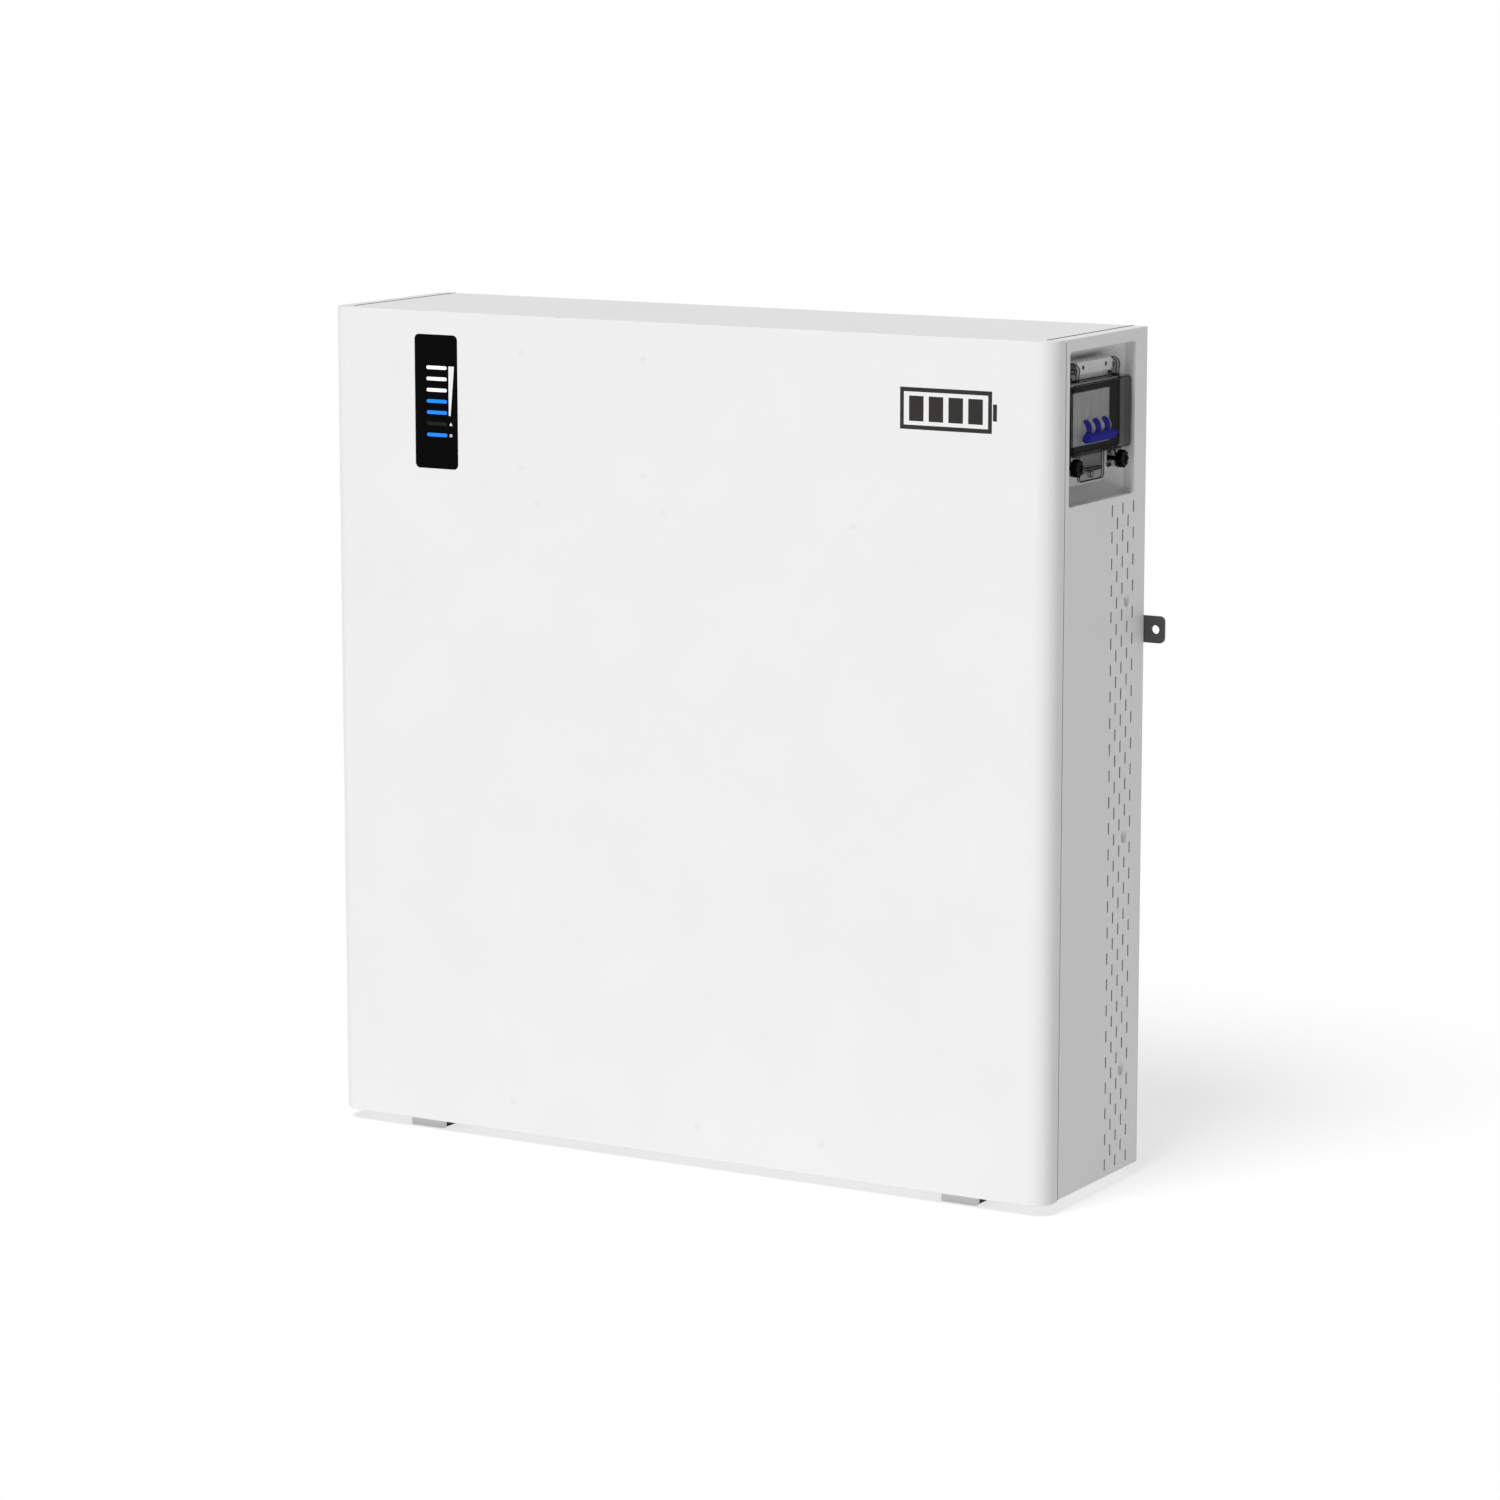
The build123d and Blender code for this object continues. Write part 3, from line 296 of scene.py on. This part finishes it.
def smoked_plastic(name, alpha):
    """Smoked window plastic, thin and polished; alpha is how dark each face is."""
    surface = Surface(name, (0.006, 0.006, 0.007), 0.06, Specular_IOR_Level=0.03, Alpha=alpha)
    return surface.gloss(0.02, 0.02).grain(0.03, 0.00001, 0.3)


def clear_plastic(name):
    """Frosted light guide."""
    surface = Surface(name, (0.92, 0.93, 0.95), 0.25, IOR=1.49)
    surface.set("Transmission Weight", 0.9)
    return surface.gloss(0.004, 0.06)


def circuit_board(name):
    """Green solder mask with faint track relief."""
    surface = Surface(name, (0.012, 0.12, 0.045), 0.35)
    surface.mottle(0.002, 0.5, (1.0, 1.0, 0.25)).gloss(0.003, 0.08)
    return surface.grain(0.0012, 0.00003, 0.7, (1.0, 1.0, 0.2))


def cell_film(name):
    """Blue insulating film round a cell, slightly wrinkled."""
    surface = Surface(name, (0.02, 0.09, 0.36), 0.3)
    return surface.mottle(0.03, 0.15).gloss(0.01, 0.08).grain(0.012, 0.0002, 0.4)


def make_materials():
    """One material per slot of the record, and two of painted shade: for the weld marks and for the lid's
    edge beads.
    """
    white = (0.68, 0.68, 0.682)
    return {
        "powder_coat": powder_coat("powder_coat", white),
        # painted shade: powder coat a little darker than the white, for the faint shading of the weld
        # marks
        "stud_mark_painted_shade": powder_coat("stud_mark_painted_shade", (0.645, 0.645, 0.647)),
        "dark_steel": powder_coat("dark_steel", (0.055, 0.056, 0.06)),
        "zinc": steel("zinc", (0.62, 0.63, 0.66), 0.34),
        "bright_steel": steel("bright_steel", (0.66, 0.66, 0.66), 0.22, (1.0, 12.0, 1.0)),
        "galvanised": steel("galvanised", (0.5, 0.51, 0.53), 0.45, (1.0, 1.0, 1.0)),
        "aluminium": steel("aluminium", (0.74, 0.75, 0.77), 0.38, (10.0, 1.0, 1.0)),
        "copper": copper_like("copper", (0.78, 0.36, 0.22)),
        "brass": copper_like("brass", (0.76, 0.58, 0.28)),
        "grey_plastic": moulded("grey_plastic", (0.56, 0.56, 0.57)),
        "breaker_plastic": moulded("breaker_plastic", (0.84, 0.84, 0.85), 0.38),
        "black_plastic": moulded("black_plastic", (0.0022, 0.0022, 0.0024), 0.5, Specular_IOR_Level=0.03),
        "blue_plastic": moulded("blue_plastic", (0.008, 0.016, 0.66), 0.35, 0.00001,
                                Specular_IOR_Level=0.05),
        "orange_plastic": moulded("orange_plastic", (0.8, 0.19, 0.015)),
        "button_grey": moulded("button_grey", (0.3, 0.3, 0.31)),
        "insulation": moulded("insulation", (0.72, 0.7, 0.62), 0.6),
        "insulator_red": moulded("insulator_red", (0.36, 0.025, 0.015), 0.5),
        "ceramic": moulded("ceramic", (0.8, 0.78, 0.73), 0.55),
        "seal_rubber": rubber("seal_rubber"),
        "display_black": moulded("display_black", (0.0012, 0.0012, 0.0014), 0.2, 0.000002,
                                 Specular_IOR_Level=0.03),
        "white_lamp": lamp_window("white_lamp", (0.82, 0.82, 0.83), 0.2),
        "blue_lamp": lamp_window("blue_lamp", (0.01, 0.2, 0.9), 0.25),
        "dark_lamp": lamp_window("dark_lamp", (0.01, 0.01, 0.011), 0.0),
        "grey_print": moulded("grey_print", (0.68, 0.68, 0.69), 0.5, 0.000003),
        "dark_print": moulded("dark_print", (0.03, 0.028, 0.026), 0.6, 0.000003, Specular_IOR_Level=0.08),
        "smoked_window": smoked_plastic("smoked_window", 0.25),
        # painted shade: nearly opaque smoked plastic for the beads on the lid's edges
        "lid_edge_painted_shade": smoked_plastic("lid_edge_painted_shade", 0.95),
        "clear_plastic": clear_plastic("clear_plastic"),
        "circuit_board": circuit_board("circuit_board"),
        "cell_film": cell_film("cell_film"),
    }


def paint(mesh, material):
    """Give every face of the mesh one material."""
    mesh.materials.clear()
    mesh.materials.append(material)


def paint_frame(surfaces):
    """Every CAD node takes the material of its slot."""
    for part in frame["record"]["subparts"]:
        paint(nodes[part["node"]].data, surfaces[part["material_slot"]].material)


# ---------------------------------------------------------------- softened copies of the CAD pieces
def welded(mesh):
    """The mesh with its triangles joined up and its flat faces made whole."""
    work = bmesh.new()
    work.from_mesh(mesh)
    bmesh.ops.remove_doubles(work, verts=work.verts, dist=WELD_DISTANCE)
    bmesh.ops.dissolve_limit(work, angle_limit=FLAT_ANGLE, verts=work.verts, edges=work.edges)
    return work


def applied(piece):
    """The piece's mesh with its modifiers or curve outline worked in."""
    return bpy.data.meshes.new_from_object(piece.evaluated_get(bpy.context.evaluated_depsgraph_get()))


def softened(node, width, surfaces):
    """Copy of a CAD piece with its sharp edges rounded, shown in its place."""
    source = nodes[node]
    body = source["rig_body"]
    slot = next(part["material_slot"] for part in frame["record"]["subparts"] if part["node"] == node)
    mesh = source.data.copy()
    mesh.name = node + "_soft"
    work = welded(mesh)
    for face in work.faces:
        face.smooth = True
    for edge in work.edges:
        edge.smooth = edge.calc_face_angle(0.0) < CREASE_ANGLE
    work.to_mesh(mesh)
    work.free()
    paint(mesh, surfaces[slot].material)
    piece = add_object(node + "_soft", mesh)
    bevel = piece.modifiers.new("edges", "BEVEL")
    bevel.width = width
    bevel.segments = 2
    bevel.limit_method = "ANGLE"
    bevel.angle_limit = BEVEL_ANGLE
    bevel.use_clamp_overlap = True
    weighted = piece.modifiers.new("normals", "WEIGHTED_NORMAL")
    weighted.mode = "FACE_AREA"
    weighted.weight = 100
    weighted.keep_sharp = True
    final = applied(piece)
    piece.modifiers.clear()
    piece.data = final
    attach(piece, body)
    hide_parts(node)


def soften_frame(surfaces):
    """Rounded edges on the pieces that show."""
    for node, width in EDGE_WIDTHS.items():
        softened(node, width * MM, surfaces)


def lid_edges(surfaces):
    """The smoked lid is darkest where the light runs along its thickness: fine dark beads on its edges
    paint that shade.
    """
    lid = nodes["window_lid"]
    curve = bpy.data.curves.new("lid_edges", "CURVE")
    curve.dimensions = "3D"
    curve.bevel_depth = BEAD_RADIUS
    curve.bevel_resolution = 1
    work = welded(lid.data)
    for edge in work.edges:
        if edge.calc_face_angle(0.0) > BEAD_ANGLE:
            line = curve.splines.new("POLY")
            line.points.add(1)
            for point, end in zip(line.points, edge.verts):
                point.co = (*(lid.matrix_world @ end.co), 1.0)
    work.free()
    drawn = add_object("lid_edge_lines", curve)
    mesh = applied(drawn)
    bpy.data.objects.remove(drawn)
    paint(mesh, surfaces["lid_edge_painted_shade"].material)
    beads = add_object("lid_edges", mesh)
    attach(beads, lid["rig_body"])


def stud_marks(surfaces):
    """Faint raised rounds on the front, where studs are welded to the back of the sheet; their slightly
    darker coat is painted shade.
    """
    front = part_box("front_cover")[0].y
    work = bmesh.new()
    for x, z in MARK_SITES:
        place = Matrix.Translation((x * MM, front, z * MM)) @ Matrix.Rotation(radians(90), 4, "X")
        bmesh.ops.create_cone(work, cap_ends=True, segments=32, radius1=MARK_RADIUS,
                              radius2=MARK_TOP_RADIUS, depth=MARK_HEIGHT, matrix=place)
    mesh = bpy.data.meshes.new("stud_marks")
    work.to_mesh(mesh)
    work.free()
    paint(mesh, surfaces["stud_mark_painted_shade"].material)
    marks = add_object("stud_marks", mesh)
    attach(marks, "cabinet")


def main():
    add_camera()
    add_studio()
    surfaces = make_materials()
    paint_frame(surfaces)
    soften_frame(surfaces)
    lid_edges(surfaces)
    stud_marks(surfaces)


main()
